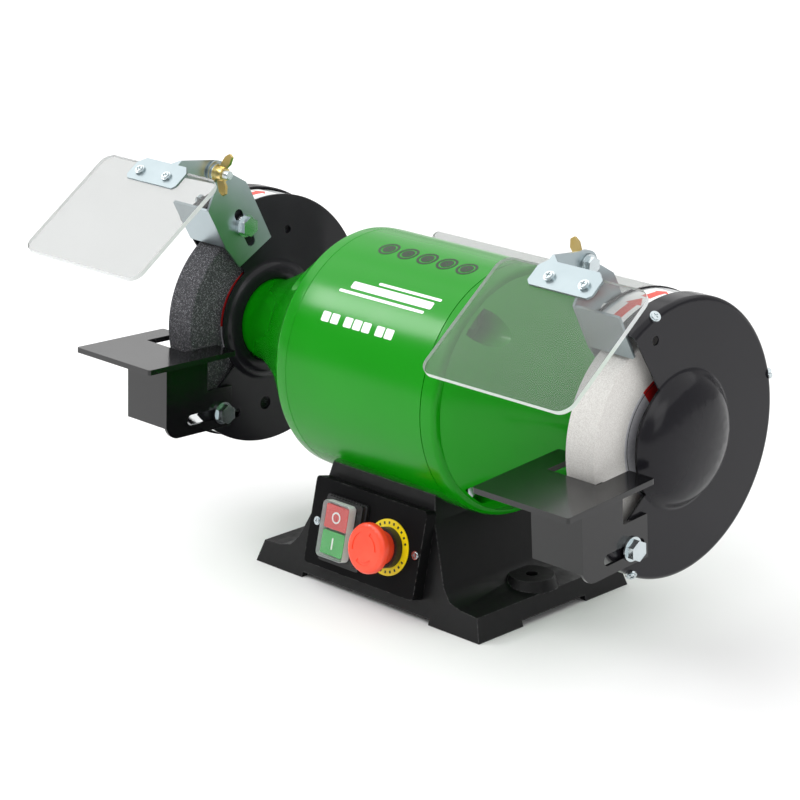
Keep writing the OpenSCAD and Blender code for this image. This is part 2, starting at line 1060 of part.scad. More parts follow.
// the ear at the pivot, its neck and the tab that lies on the shield, moved by shift in X
module shield_arm(slope, shift) {
    half = 27;
    tab_back = shield_edge + 2;
    tab_front = shield_edge - 17.5;
    tab_top = tab_low + tab_thick;
    color(zinc)
        at_pivot(slope)
            difference() {
                union() {
                    yz(ear_start, ear_end) {
                        circle(9);
                        polygon([[-6.5, -6.2], [6.5, 6.2], [-18, tab_top], [tab_back, tab_top],
                            [tab_back, 17]]);
                    }
                    translate([0, 0, tab_low])
                        linear_extrude(tab_thick)
                            polygon([[ear_start, -18], [ear_start, tab_back + 1],
                                [ear_start + 8, tab_back + 1], [ear_end, -18]]);
                    translate([tab_middle + shift, 0, tab_low])
                        linear_extrude(tab_thick)
                            polygon([[-half, tab_back - 4], [-half, tab_front + 3],
                                [3 - half, tab_front], [half - 3, tab_front], [half, tab_front + 3],
                                [half, tab_back - 4], [half - 6, tab_back + 1.5], [5 - half, tab_back + 1.5]]);
                }
                bar_x(ear_start - 1, ear_end + 1, pivot_radius + run_gap, 0, 0);
                for (x = screw_places)
                    translate([tab_middle + shift + x, screw_u, tab_low - 1])
                        cylinder(h = 5, r = 2);
            }
}

module left_shield_arm() {
    mirror([1, 0, 0])
        shield_arm(left_shield_slope, left_shield_shift);
}

module right_shield_arm() {
    shield_arm(right_shield_slope, 0);
}

module eye_shield(slope, shift) {
    wide = 125;
    deep = 99;
    color(clear)
        at_pivot(slope)
            difference() {
                translate([tab_middle + shift - 60, shield_edge - deep, shield_low])
                    linear_extrude(shield_thick)
                        rounded(wide, deep, 10);
                for (x = screw_places)
                    translate([tab_middle + shift + x, screw_u, shield_low - 1])
                        cylinder(h = shield_thick + 2, r = 2);
            }
}

module left_shield() {
    mirror([1, 0, 0])
        eye_shield(left_shield_slope, left_shield_shift);
}

module right_shield() {
    eye_shield(right_shield_slope, 0);
}

// pan-head screws through the arm's tab and the shield, with their nuts
module shield_screws(slope, shift) {
    head_seat = tab_low + tab_thick;
    color(zinc)
        at_pivot(slope)
            for (x = screw_places)
                translate([tab_middle + shift + x, screw_u, 0])
                    difference() {
                        union() {
                            translate([0, 0, head_seat])
                                cylinder(h = 1.7, r = 4);
                            translate([0, 0, head_seat])
                                cylinder(h = 2.8, r = 3);
                            translate([0, 0, shield_low - 5])
                                cylinder(h = 12, r = 2);
                            translate([0, 0, shield_low - 3.2])
                                cylinder(h = 3.2, r = 4, $fn = 6);
                        }
                        for (turn = [0, 90])
                            translate([0, 0, head_seat + 2.8])
                                rotate([0, 0, turn])
                                    cube([4, 0.9, 2], center = true);
                    }
}

module left_shield_screws() {
    mirror([1, 0, 0])
        shield_screws(left_shield_slope, left_shield_shift);
}

module right_shield_screws() {
    shield_screws(right_shield_slope, 0);
}

// --- tool rests ---

// a tool rest seen from its bolt: plate above, web in front, slotted side plate at +X
module tool_rest(shift) {
    plate_front = -76.5;
    plate_deep = 84;
    plate_top = 51;
    plate_low = 47;
    web_y = -47.7;
    sheet = 2.5;
    color(black)
        translate([shift[0], shift[1], 0])
            difference() {
                union() {
                    translate([155.6, plate_front, plate_low])
                        linear_extrude(plate_top - plate_low)
                            difference() {
                                rounded(83, plate_deep, 2);
                                translate([18.2, 52.5])
                                    square([43, 40]);
                            }
                    translate([180, web_y, -2.5])
                        cube([44, sheet, plate_low + 2.5]);
                    yz(221.5, 224) {
                        polygon([[web_y, plate_low], [web_y, 0.5], [-35.7, 0.5], [-35.7, -11.5],
                            [16.5, -11.5], [16.5, 19.5], [-7.5, 19.5], [-7.5, plate_low]]);
                        translate([web_y + 12, 0.5])
                            circle(12);
                    }
                    yz(180, 182.5) {
                        polygon([[web_y, plate_low], [web_y, -2.5], [-35, -2.5], [-35, 7],
                            [-25.5, 7], [-25.5, plate_low]]);
                        translate([-35, 7])
                            circle(9.5);
                    }
                }
                yz(220, 226) {
                    translate([-23, 0])
                        circle(bolt_radius + run_gap);
                    translate([9, 0])
                        circle(bolt_radius + run_gap);
                    translate([-23, -bolt_radius - run_gap])
                        square([32, 2 * (bolt_radius + run_gap)]);
                }
            }
}

// children placed at the tool rest bolt and tilted with the rest
module at_rest_bolt(tilt) {
    translate([0, rest_bolt_y, rest_bolt_z])
        rotate([tilt, 0, 0])
            children();
}

module left_rest() {
    at_rest_bolt(left_tilt)
        tool_rest([rest_shift, -left_rest_out]);
}

module right_rest() {
    at_rest_bolt(right_tilt)
        tool_rest([0, 0]);
}

// a rest bolt: washer, head, shank and the nut inside the guard
module rest_bolt(tilt, face, sheet_back, nut) {
    color(zinc)
        at_rest_bolt(tilt) {
            bar_x(sheet_back - nut - 0.3, face + 6, bolt_radius, 0, 0);
            bar_x(face, face + 1.6, 8.5, 0, 0);
            hex_x(face + 1.6, face + 7, 13, 0, 0);
            hex_x(sheet_back - nut, sheet_back, 13, 0, 0);
        }
}

module right_rest_bolt() {
    rest_bolt(right_tilt, 224.1, cover_back - 0.1, 5);
}

module left_rest_bolt() {
    rest_bolt(left_tilt, 224.1 + rest_shift, -disc_end - 0.1, 3.2);
}

base_casting();
bottom_cover();
base_screws();
cable_gland();
switch_panel();
panel_screws();
switch_frame();
switch_boot();
stop_button();
start_button();
switch_body();
estop_label_ring();
estop_collar();
estop_stem();
estop_head();
contact_block();
capacitor();
capacitor_strap();
terminal_block();
motor_housing();
left_end_bell();
right_end_bell();
through_bolts();
stator_core();
stator_windings();
rotor_core();
spindle();
bearing_outer_rings();
bearing_inner_rings();
bearing_balls();
rear_screen();
screen_standoffs();
left_inner_guard();
right_inner_guard();
rim_bands();
left_cover();
right_cover();
guard_fasteners();
dust_outlets();
left_wheel();
right_wheel();
wheel_labels();
wheel_flanges();
spindle_nuts();
left_spark_bracket();
right_spark_bracket();
left_pivot_bolt();
right_pivot_bolt();
left_wing_nut();
right_wing_nut();
left_shield_arm();
right_shield_arm();
left_shield();
right_shield();
left_shield_screws();
right_shield_screws();
left_rest();
right_rest();
left_rest_bolt();
right_rest_bolt();
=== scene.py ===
import json
import math

import bmesh
import bpy
from mathutils import Matrix, Vector


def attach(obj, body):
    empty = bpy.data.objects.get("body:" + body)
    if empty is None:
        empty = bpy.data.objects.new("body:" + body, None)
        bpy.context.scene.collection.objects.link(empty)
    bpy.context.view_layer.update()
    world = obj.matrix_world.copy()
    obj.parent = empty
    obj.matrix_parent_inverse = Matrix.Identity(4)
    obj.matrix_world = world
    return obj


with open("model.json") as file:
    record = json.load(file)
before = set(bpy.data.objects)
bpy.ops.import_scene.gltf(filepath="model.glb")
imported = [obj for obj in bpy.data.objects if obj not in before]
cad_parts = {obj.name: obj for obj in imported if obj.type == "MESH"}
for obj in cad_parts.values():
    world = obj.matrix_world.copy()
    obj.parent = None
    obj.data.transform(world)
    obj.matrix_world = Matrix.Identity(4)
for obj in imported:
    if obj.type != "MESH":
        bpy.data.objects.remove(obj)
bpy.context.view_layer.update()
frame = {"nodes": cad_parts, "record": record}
NODES = frame["nodes"]

# sizes of the object that the pieces and materials below are placed by, in mm
MM = 0.001
SPINDLE_Z = 155.5
TUBE_RADIUS = 89.0
BAND_RADIUS = 94.0
BAND_MIDDLE = 195.0
BASE_FRONT = -78.0
FRONT_SLOPE = math.atan(20.5 / 87.5)
SWITCH_X = -20.0
KEY_FACE = 20.0
ESTOP_X = 24.2
ESTOP_UP = 45.9
ESTOP_FACE = 23.7
ESTOP_RING_FACE = 10.8
PIVOT_Y = -52.0
PIVOT_RISE = 121.7
PRINT_THICK = 0.12


# ---------------------------------------------------------------- node helpers

class Shader:
    """A material's node tree, with one Principled shader and object coordinates."""

    def __init__(self, name, color=(0.5, 0.5, 0.5), roughness=0.5, metallic=0.0, coat=0.0,
                 coat_roughness=0.1, ior=1.5, specular=0.5, transmission=0.0):
        self.material = bpy.data.materials.new(name)
        self.material.use_nodes = True
        self.tree = self.material.node_tree
        self.tree.nodes.clear()
        output = self.tree.nodes.new("ShaderNodeOutputMaterial")
        self.bsdf = self.tree.nodes.new("ShaderNodeBsdfPrincipled")
        self.link(self.bsdf.outputs[0], output.inputs[0])
        self.coords = self.tree.nodes.new("ShaderNodeTexCoord").outputs["Object"]
        self.put("Base Color", (*color, 1.0))
        self.put("Roughness", roughness)
        self.put("Metallic", metallic)
        self.put("Coat Weight", coat)
        self.put("Coat Roughness", coat_roughness)
        self.put("IOR", ior)
        self.put("Specular IOR Level", specular)
        self.put("Transmission Weight", transmission)

    def link(self, source, target):
        self.tree.links.new(source, target)

    def put(self, socket, value):
        self.bsdf.inputs[socket].default_value = value

    def feed(self, socket, source):
        self.link(source, self.bsdf.inputs[socket])

    def noise(self, scale, detail=2.0, rough=0.5, stretch=(1, 1, 1)):
        node = self.tree.nodes.new("ShaderNodeTexNoise")
        node.inputs["Scale"].default_value = scale
        node.inputs["Detail"].default_value = detail
        node.inputs["Roughness"].default_value = rough
        self.link(self.stretched(stretch), node.inputs["Vector"])
        return node.outputs["Fac"]

    def cells(self, scale, output="Distance"):
        node = self.tree.nodes.new("ShaderNodeTexVoronoi")
        node.inputs["Scale"].default_value = scale
        self.link(self.coords, node.inputs["Vector"])
        return node.outputs[output]

    def stretched(self, stretch):
        if stretch == (1, 1, 1):
            return self.coords
        node = self.tree.nodes.new("ShaderNodeMapping")
        node.inputs["Scale"].default_value = stretch
        self.link(self.coords, node.inputs["Vector"])
        return node.outputs["Vector"]

    def ramp(self, source, low, high, start=0.0, end=1.0):
        """Maps a value onto numbers (or colours) between two stops."""
        node = self.tree.nodes.new("ShaderNodeMapRange")
        node.inputs["From Min"].default_value = start
        node.inputs["From Max"].default_value = end
        node.inputs["To Min"].default_value = low
        node.inputs["To Max"].default_value = high
        self.link(source, node.inputs["Value"])
        return node.outputs["Result"]

    def mix(self, source, first, second):
        """Mixes two colours (or colour outputs) by a value."""
        node = self.tree.nodes.new("ShaderNodeMix")
        node.data_type = "RGBA"
        self.link(source, node.inputs["Factor"])
        for socket, color in (("A", first), ("B", second)):
            slot = [s for s in node.inputs if s.name == socket and s.type == "RGBA"][0]
            if isinstance(color, bpy.types.NodeSocket):
                self.link(color, slot)
            else:
                slot.default_value = (*color, 1.0)
        return [s for s in node.outputs if s.type == "RGBA"][0]

    def math(self, operation, first, second=0.0):
        node = self.tree.nodes.new("ShaderNodeMath")
        node.operation = operation
        for index, value in enumerate((first, second)):
            if isinstance(value, bpy.types.NodeSocket):
                self.link(value, node.inputs[index])
            else:
                node.inputs[index].default_value = value
        return node.outputs[0]

    def axes(self):
        node = self.tree.nodes.new("ShaderNodeSeparateXYZ")
        self.link(self.coords, node.inputs[0])
        return node.outputs

    def off_face(self, facing):
        """1 on a sheet's rim and 0 on its two faces, from the way the sheet faces."""
        normal = self.tree.nodes.new("ShaderNodeTexCoord").outputs["Normal"]
        dot = self.tree.nodes.new("ShaderNodeVectorMath")
        dot.operation = "DOT_PRODUCT"
        dot.inputs[1].default_value = facing
        self.link(normal, dot.inputs[0])
        return self.ramp(self.math("ABSOLUTE", dot.outputs["Value"]), 1.0, 0.0, 0.5, 0.95)

    def bump(self, heights):
        """Stacks bumps given as (height output, strength, distance in metres)."""
        normal = None
        for height, strength, distance in heights:
            node = self.tree.nodes.new("ShaderNodeBump")
            node.inputs["Strength"].default_value = strength
            node.inputs["Distance"].default_value = distance
            self.link(height, node.inputs["Height"])
            if normal is not None:
                self.link(normal, node.inputs["Normal"])
            normal = node.outputs["Normal"]
        self.feed("Normal", normal)

    def edge_mask(self, radius, start, end):
        """Near 1 on outer edges, from the difference of a rounded and a plain normal."""
        bevel = self.tree.nodes.new("ShaderNodeBevel")
        bevel.samples = 4
        bevel.inputs["Radius"].default_value = radius
        geometry = self.tree.nodes.new("ShaderNodeNewGeometry")
        dot = self.tree.nodes.new("ShaderNodeVectorMath")
        dot.operation = "DOT_PRODUCT"
        self.link(bevel.outputs[0], dot.inputs[0])
        self.link(geometry.outputs["Normal"], dot.inputs[1])
        away = self.math("SUBTRACT", 1.0, dot.outputs["Value"])
        return self.ramp(away, 0.0, 1.0, start, end)


# ---------------------------------------------------------------- materials

def painted(name, color, light, roughness, specular, edge_wear_highlight, edge_wear_highlight_amount=0.2, coat=0.0):
    """Paint with a slight orange peel, a cloudy tone and lighter edges, partly edge wear and partly a
    painted edge highlight.
    """
    s = Shader(name, color, roughness, coat=coat, coat_roughness=0.12, specular=specular)
    cloud = s.noise(14, 2, 0.5)
    fine = s.noise(900, 2, 0.6)
    tone = s.mix(s.ramp(cloud, 0.0, 1.0, 0.2, 0.8), color, light)
    edge_patches = s.noise(260, 3, 0.7)
    edges = s.edge_mask(0.0012, 0.04, 0.3)
    wear_and_highlight = s.math("MULTIPLY", edges, s.ramp(edge_patches, 0.0, 1.0, 0.45, 0.62))
    wear_and_highlight = s.math("MULTIPLY", wear_and_highlight, edge_wear_highlight_amount)
    # lighter colour on the edges: edge wear, and a painted highlight where the rounded edges catch the
    # light
    s.feed("Base Color", s.mix(wear_and_highlight, tone, edge_wear_highlight))
    s.feed("Roughness", s.ramp(cloud, roughness - 0.04, roughness + 0.06, 0.2, 0.8))
    s.bump([(s.noise(40, 3, 0.5), 0.2, 0.00004), (fine, 0.25, 0.00006)])
    return s.material


def cast_paint(name, color, light, roughness):
    """Thick paint over a sand casting: the cast skin shows through as soft lumps, and the edges are
    lighter with edge wear and a painted edge highlight.
    """
    s = Shader(name, color, roughness, specular=0.28)
    cloud = s.noise(9, 5, 0.6)
    lumps = s.noise(160, 4, 0.6)
    fine = s.noise(700, 2, 0.5)
    edges = s.edge_mask(0.0015, 0.04, 0.3)
    wear_and_highlight = s.math("MULTIPLY", edges, s.ramp(fine, 0.0, 0.7, 0.4, 0.6))
    tone = s.mix(s.ramp(cloud, 0.0, 1.0, 0.3, 0.7), color, light)
    # lighter grey on the edges: edge wear, and a painted highlight along the rounded edges
    s.feed("Base Color", s.mix(wear_and_highlight, tone, (0.16, 0.16, 0.165)))
    s.feed("Roughness", s.ramp(lumps, roughness - 0.06, roughness + 0.12, 0.3, 0.75))
    s.bump([(lumps, 0.45, 0.0002), (fine, 0.3, 0.00006)])
    return s.material


def plated(name, color, roughness, cloudy, brushed=(1, 1, 1)):
    """Zinc plate: a bright metal with cloudy crystals and fine rolling lines."""
    s = Shader(name, color, roughness, metallic=1.0)
    cloud = s.noise(70, 2, 0.5)
    lines = s.noise(300, 2, 0.5, brushed)
    s.feed("Base Color", s.mix(s.ramp(cloud, 0.0, 1.0, 0.2, 0.8), color, cloudy))
    s.feed("Roughness", s.ramp(cloud, roughness - 0.03, roughness + 0.05, 0.2, 0.8))
    s.bump([(lines, 0.05, 0.00001)])
    return s.material


def steel(name, color, roughness):
    """Turned or ground steel with fine tool lines and a little dulling."""
    s = Shader(name, color, roughness, metallic=1.0)
    lines = s.noise(200, 2, 0.6, (60, 1, 1))
    cloud = s.noise(60, 4, 0.6)
    dull = tuple(c * 0.75 for c in color)
    s.feed("Base Color", s.mix(s.ramp(cloud, 0.0, 1.0, 0.4, 0.75), color, dull))
    s.feed("Roughness", s.ramp(lines, roughness - 0.06, roughness + 0.14, 0.25, 0.75))
    s.bump([(lines, 0.3, 0.00003)])
    return s.material


def moulded(name, color, roughness, scale=1400, coat=0.0):
    """Moulded plastic or printed ink with a fine grain."""
    s = Shader(name, color, roughness, coat=coat, coat_roughness=0.08)
    grain = s.noise(scale, 2, 0.6)
    cloud = s.noise(40, 3, 0.6)
    light = tuple(min(1.0, c * 1.25 + 0.01) for c in color)
    s.feed("Base Color", s.mix(s.ramp(cloud, 0.0, 1.0, 0.35, 0.7), color, light))
    s.feed("Roughness", s.ramp(grain, roughness - 0.05, roughness + 0.08, 0.3, 0.7))
    s.bump([(grain, 0.3, 0.00004)])
    return s.material


def clear_sheet(name, tint, facing, roughness=0.01, haze=0.04, transmission=0.9):
    """Clear plastic sheet with faint smears, hairline scratches and a milky sawn rim."""
    s = Shader(name, tint, roughness, ior=1.13, transmission=transmission)
    smear = s.noise(18, 4, 0.6, (1, 3, 1))
    hairs = s.noise(500, 3, 0.7, (1, 14, 1))
    rim = s.off_face(facing)
    worn = s.ramp(s.math("MULTIPLY", smear, hairs), roughness, roughness + haze, 0.2, 0.5)
    s.feed("Roughness", s.math("ADD", s.math("MULTIPLY", rim, 0.3), worn))
    cloud = s.noise(30, 3, 0.5)
    dimmer = tuple(c * 0.985 for c in tint)
    face = s.mix(s.ramp(cloud, 0.0, 1.0, 0.4, 0.7), tint, dimmer)
    s.feed("Base Color", s.mix(rim, face, (0.9, 0.92, 0.92)))
    s.feed("Transmission Weight", s.ramp(rim, transmission, 0.4))
    s.bump([(smear, 0.02, 0.00001)])
    return s.material


def abrasive(name, dark, mid, light, scale, depth, sparkle):
    """Bonded abrasive: packed grains of mixed tone with pores between them."""
    s = Shader(name, mid, 0.85, specular=0.35)
    grains = s.cells(scale)
    tone = s.cells(scale, output="Color")
    split = s.tree.nodes.new("ShaderNodeSeparateColor")
    s.link(tone, split.inputs[0])
    pores = s.noise(scale * 0.6, 4, 0.7)
    base = s.mix(s.ramp(split.outputs[0], 0.0, 1.0, 0.1, 0.9), dark, mid)
    bright = s.ramp(split.outputs[1], 0.0, 1.0, sparkle, sparkle + 0.06)
    color = s.mix(bright, base, light)
    shade = s.ramp(pores, 0.0, 0.75, 0.62, 0.36)
    s.feed("Base Color", s.mix(s.math("MULTIPLY", shade, 0.6), color, dark))
    s.feed("Roughness", s.ramp(grains, 0.95, 0.7, 0.0, 0.6))
    s.bump([(pores, 0.8, depth * 1.5), (grains, 0.9, depth)])
    return s.material


def label_card(name):
    """Printed wheel blotter: plain silver card, two thin rings and a red sector, no lettering."""
    silver = (0.5, 0.5, 0.54)
    outer_ring, inner_ring = 0.0428, 0.034
    right_sector, left_further, half_sector = 1.62, 0.87, 0.61
    s = Shader(name, silver, 0.5)
    x, y, z = s.axes()
    rise = s.math("SUBTRACT", z, SPINDLE_Z * MM)
    radius = s.math("SQRT", s.math("ADD", s.math("MULTIPLY", y, y), s.math("MULTIPLY", rise, rise)))
    middle = s.math("ADD", s.math("MULTIPLY", s.math("LESS_THAN", x, 0.0), left_further), right_sector)
    turned = s.math("ABSOLUTE", s.math("SUBTRACT", s.math("ARCTAN2", rise, y), middle))
    red = s.math("MULTIPLY", s.math("LESS_THAN", turned, half_sector),
                 s.math("GREATER_THAN", radius, inner_ring))
    line = s.math("LESS_THAN", s.math("ABSOLUTE", s.math("SUBTRACT", radius, outer_ring)), 0.00035)
    inner = s.math("LESS_THAN", s.math("ABSOLUTE", s.math("SUBTRACT", radius, inner_ring)), 0.0003)
    card = s.mix(s.ramp(s.noise(400, 3, 0.6), 0.0, 1.0, 0.3, 0.7), silver, (0.62, 0.62, 0.65))
    printed = s.mix(red, card, (0.55, 0.012, 0.01))
    s.feed("Base Color", s.mix(s.math("MAXIMUM", line, inner), printed, (0.02, 0.02, 0.02)))
    s.feed("Roughness", s.ramp(s.noise(250, 2, 0.5), 0.4, 0.6, 0.3, 0.7))
    s.bump([(s.noise(900, 2, 0.6), 0.3, 0.00004)])
    return s.material


def laminated(name, color):
    """Stacked thin sheets: fine dark lines across the spindle."""
    sheet = 1.0 * MM
    s = Shader(name, color, 0.42, metallic=0.9)
    x = s.axes()[0]
    lines = s.math("SINE", s.math("MULTIPLY", x, 2 * math.pi / sheet))
    shade = s.ramp(lines, 0.0, 0.6, 0.2, 1.0)
    s.feed("Base Color", s.mix(shade, color, tuple(c * 0.3 for c in color)))
    s.feed("Roughness", s.ramp(s.noise(80, 3, 0.6), 0.35, 0.55, 0.3, 0.7))
    s.bump([(lines, 0.4, 0.00008)])
    return s.material


def windings(name, color):
    """Varnished copper wire laid round the coil."""
    wire = 1.208 * MM
    s = Shader(name, color, 0.35, metallic=0.7, coat=0.6, coat_roughness=0.15)
    laid = s.math("ADD", s.axes()[0], s.noise(40, 2, 0.5))
    wires = s.math("SINE", s.math("MULTIPLY", laid, 2 * math.pi / wire))
    dark = tuple(c * 0.45 for c in color)
    s.feed("Base Color", s.mix(s.ramp(wires, 0.0, 1.0, -0.5, 1.0), dark, color))
    s.feed("Roughness", s.ramp(s.noise(120, 3, 0.6), 0.28, 0.5, 0.3, 0.7))
    s.bump([(wires, 0.5, 0.0002)])
    return s.material


# the way the eye shields, the strip behind the motor and the switch boot face
SHIELD_FACING = (0.0, -0.59, 0.807)
STRIP_FACING = (0.0, 1.0, 0.0)
BOOT_FACING = (0.0, -math.cos(FRONT_SLOPE), math.sin(FRONT_SLOPE))
CLEAR_TINT = (0.59, 0.6, 0.595)
# the material of each slot; new pieces use the prints below it
MATERIALS = {
    # the base and panel edges are lighter: edge wear and painted edge highlight
    "base_black": cast_paint("base_black", (0.004, 0.004, 0.0045), (0.007, 0.007, 0.0075), 0.4),
    "panel_black": painted("panel_black", (0.004, 0.004, 0.0045), (0.007, 0.007, 0.0075), 0.45,
                           specular=0.05, edge_wear_highlight=(0.2, 0.2, 0.2), edge_wear_highlight_amount=0.8),
    "guard_black": painted("guard_black", (0.009, 0.0085, 0.011), (0.012, 0.0115, 0.0145), 0.17,
                           specular=0.22, edge_wear_highlight=(0.06, 0.06, 0.06)),
    "rest_black": painted("rest_black", (0.004, 0.004, 0.0045), (0.006, 0.006, 0.007), 0.2,
                          specular=0.25, coat=0.5, edge_wear_highlight=(0.06, 0.06, 0.06)),
    "green_paint": painted("green_paint", (0.002, 0.24, 0.001), (0.003, 0.265, 0.002), 0.22,
                           specular=0.2, coat=0.12, edge_wear_highlight=(0.03, 0.25, 0.03), edge_wear_highlight_amount=0.15),
    "bare_steel": steel("bare_steel", (0.5, 0.51, 0.53), 0.3),
    "bearing_steel": steel("bearing_steel", (0.66, 0.67, 0.69), 0.18),
    "zinc_plate": plated("zinc_plate", (0.5, 0.56, 0.58), 0.2, (0.62, 0.68, 0.7)),
    "zinc_sheet": plated("zinc_sheet", (0.34, 0.4, 0.42), 0.3, (0.38, 0.44, 0.46), (1, 6, 1)),
    "rim_zinc": plated("rim_zinc", (0.72, 0.74, 0.75), 0.3, (0.8, 0.82, 0.82), (1, 18, 18)),
    "yellow_zinc": plated("yellow_zinc", (0.72, 0.5, 0.12), 0.28, (0.75, 0.6, 0.28)),
    "black_plastic": moulded("black_plastic", (0.008, 0.008, 0.009), 0.42),
    "white_plastic": moulded("white_plastic", (0.68, 0.68, 0.64), 0.45),
    "red_button": moulded("red_button", (0.62, 0.05, 0.045), 0.3, coat=0.3),
    "green_button": moulded("green_button", (0.03, 0.38, 0.06), 0.3, coat=0.3),
    "yellow_label": moulded("yellow_label", (0.85, 0.62, 0.0), 0.35, scale=600),
    "estop_red": moulded("estop_red", (0.9, 0.055, 0.015), 0.38, coat=0.2),
    "clear_boot": clear_sheet("clear_boot", (0.95, 0.96, 0.96), BOOT_FACING, 0.05, 0.06, 0.97),
    "clear_screen": clear_sheet("clear_screen", CLEAR_TINT, SHIELD_FACING),
    "lamination": laminated("lamination", (0.34, 0.35, 0.37)),
    "copper": windings("copper", (0.55, 0.22, 0.07)),
    "grey_wheel": abrasive("grey_wheel", (0.03, 0.03, 0.034), (0.09, 0.09, 0.1), (0.4, 0.4, 0.43),
                           2400, 0.0002, 0.86),
    "white_wheel": abrasive("white_wheel", (0.62, 0.6, 0.57), (0.76, 0.74, 0.71), (0.84, 0.83, 0.8),
                            2600, 0.00006, 0.5),
    "label_card": label_card("label_card"),
}
CLEAR_STRIP = clear_sheet("clear_strip", CLEAR_TINT, STRIP_FACING)
PRINT_WHITE = moulded("print_white", (0.82, 0.84, 0.82), 0.4, scale=900)
PRINT_DARK = moulded("print_dark", (0.008, 0.025, 0.008), 0.5, scale=900)
PRINT_RED = moulded("print_red", (0.62, 0.05, 0.03), 0.4, scale=900)


# ---------------------------------------------------------------- carried-over nodes

# width of the rounded edges in mm, for nodes that differ from the usual one
EDGE_WIDTH = {
    "base_casting": 1.6, "switch_panel": 0.9, "left_rest": 0.7, "right_rest": 0.7, "switch_boot": 0.5,
    "left_cover": 0.35, "right_cover": 0.35, "left_inner_guard": 0.35, "right_inner_guard": 0.35,
    "left_wheel": 0.0, "right_wheel": 0.0, "rim_bands": 0.25, "left_shield": 0.5, "right_shield": 0.5,
    "rear_screen": 0.5, "left_end_bell": 0.6, "right_end_bell": 0.6, "motor_housing": 0.5,
    "bearing_balls": 0.0, "wheel_labels": 0.0, "estop_label_ring": 0.1, "stator_core": 0.0,
    "rotor_core": 0.0, "stator_windings": 0.0, "spindle": 0.3,
}


def finish_node(name, obj):
    """Rounds the edges of a carried-over node with modifiers and gives it its material."""
    slot = SLOTS[name]
    obj.data.materials.clear()
    obj.data.materials.append(CLEAR_STRIP if name == "rear_screen" else MATERIALS[slot])
    normals = obj.data.attributes.get("custom_normal")
    if normals is not None:
        obj.data.attributes.remove(normals)
    obj.data.polygons.foreach_set("use_smooth", [True] * len(obj.data.polygons))
    weld = obj.modifiers.new("weld", "WELD")
    weld.merge_threshold = 0.000002
    width = EDGE_WIDTH.get(name, 0.3)
    if width:
        flat = obj.modifiers.new("flat", "DECIMATE")
        flat.decimate_type = "DISSOLVE"
        flat.angle_limit = math.radians(0.6)
        bevel = obj.modifiers.new("edges", "BEVEL")
        bevel.width = width * MM
        bevel.segments = 2
        bevel.limit_method = "ANGLE"
        bevel.angle_limit = math.radians(38)
        bevel.miter_outer = "MITER_ARC"
    split = obj.modifiers.new("split", "EDGE_SPLIT")
    split.split_angle = math.radians(36)
    level = obj.modifiers.new("level", "WEIGHTED_NORMAL")
    level.weight = 100
    level.keep_sharp = True


SLOTS = {row["node"]: row["material_slot"] for row in frame["record"]["subparts"]}
for node_name, node_object in NODES.items():
    finish_node(node_name, node_object)


# ---------------------------------------------------------------- new pieces

def add_piece(name, bm, body, material):
    """Makes a piece from a mesh in millimetres and rides it on a body."""
    bm.transform(Matrix.Scale(MM, 4))
    bmesh.ops.recalc_face_normals(bm, faces=bm.faces)
    mesh = bpy.data.meshes.new(name)
    bm.to_mesh(mesh)
    bm.free()
    obj = bpy.data.objects.new(name, mesh)
    bpy.context.scene.collection.objects.link(obj)
    mesh.materials.append(material)
    mesh.polygons.foreach_set("use_smooth", [True] * len(mesh.polygons))
    mesh.set_sharp_from_angle(angle=math.radians(35))
    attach(obj, body)
    return obj


def flat_outline(outlines, step=None):
    """A flat mesh of one or more outlines, cut into strips along its second axis."""
    bm = bmesh.new()
    for points in outlines:
        bm.faces.new([bm.verts.new((x, y, 0)) for x, y in points])
    if step:
        low = min(p[1] for points in outlines for p in points)
        high = max(p[1] for points in outlines for p in points)
        count = int((high - low) / step)
        for i in range(1, count + 1):
            at = low + (high - low) * i / (count + 1)
            bmesh.ops.bisect_plane(bm, geom=bm.verts[:] + bm.edges[:] + bm.faces[:],
                                   plane_co=(0, at, 0), plane_no=(0, 1, 0))
    return bm


def thicken(bm, height):
    """Gives a flat mesh a thickness along +Z."""
    made = bmesh.ops.extrude_face_region(bm, geom=bm.faces[:])
    verts = [v for v in made["geom"] if isinstance(v, bmesh.types.BMVert)]
    bmesh.ops.translate(bm, verts=verts, vec=(0, 0, height))
    return bm


def wrap(bm, radius, centre_angle):
    """Wraps a flat mesh round the spindle: its Y runs along the arc, its Z points out."""
    for v in bm.verts:
        angle = math.radians(centre_angle) + v.co.y / radius
        reach = radius + v.co.z
        v.co = Vector((v.co.x, reach * math.cos(angle), SPINDLE_Z + reach * math.sin(angle)))
    return bm


def wrapped(outlines, radius, height, centre_angle):
    """Outlines in X and arc length, cut every 2 mm, made thick and wrapped."""
    return wrap(thicken(flat_outline(outlines, step=2.0), height), radius, centre_angle)


def bar(x, y, width, height, radius):
    """Outline of a rectangle with round corners, centred on x and y."""
    corners = 5
    points = []
    for cx, cy, start in ((1, 1, 0), (-1, 1, 90), (-1, -1, 180), (1, -1, 270)):
        for i in range(corners + 1):
            a = math.radians(start + 90 * i / corners)
            points.append((x + cx * (width / 2 - radius) + radius * math.cos(a),
                           y + cy * (height / 2 - radius) + radius * math.sin(a)))
    return points


def ring_pieces(x, y, inner, outer, start=0, end=360, steps=40):
    """Outlines that together make a flat ring or part of one."""
    outlines = []
    for i in range(steps):
        a0 = math.radians(start + (end - start) * i / steps)
        a1 = math.radians(start + (end - start) * (i + 1) / steps)
        outlines.append([(x + r * math.cos(a), y + r * math.sin(a))
                         for r, a in ((inner, a0), (outer, a0), (outer, a1), (inner, a1))])
    return outlines


def merged(bm):
    bmesh.ops.remove_doubles(bm, verts=bm.verts, dist=0.001)
    return bm


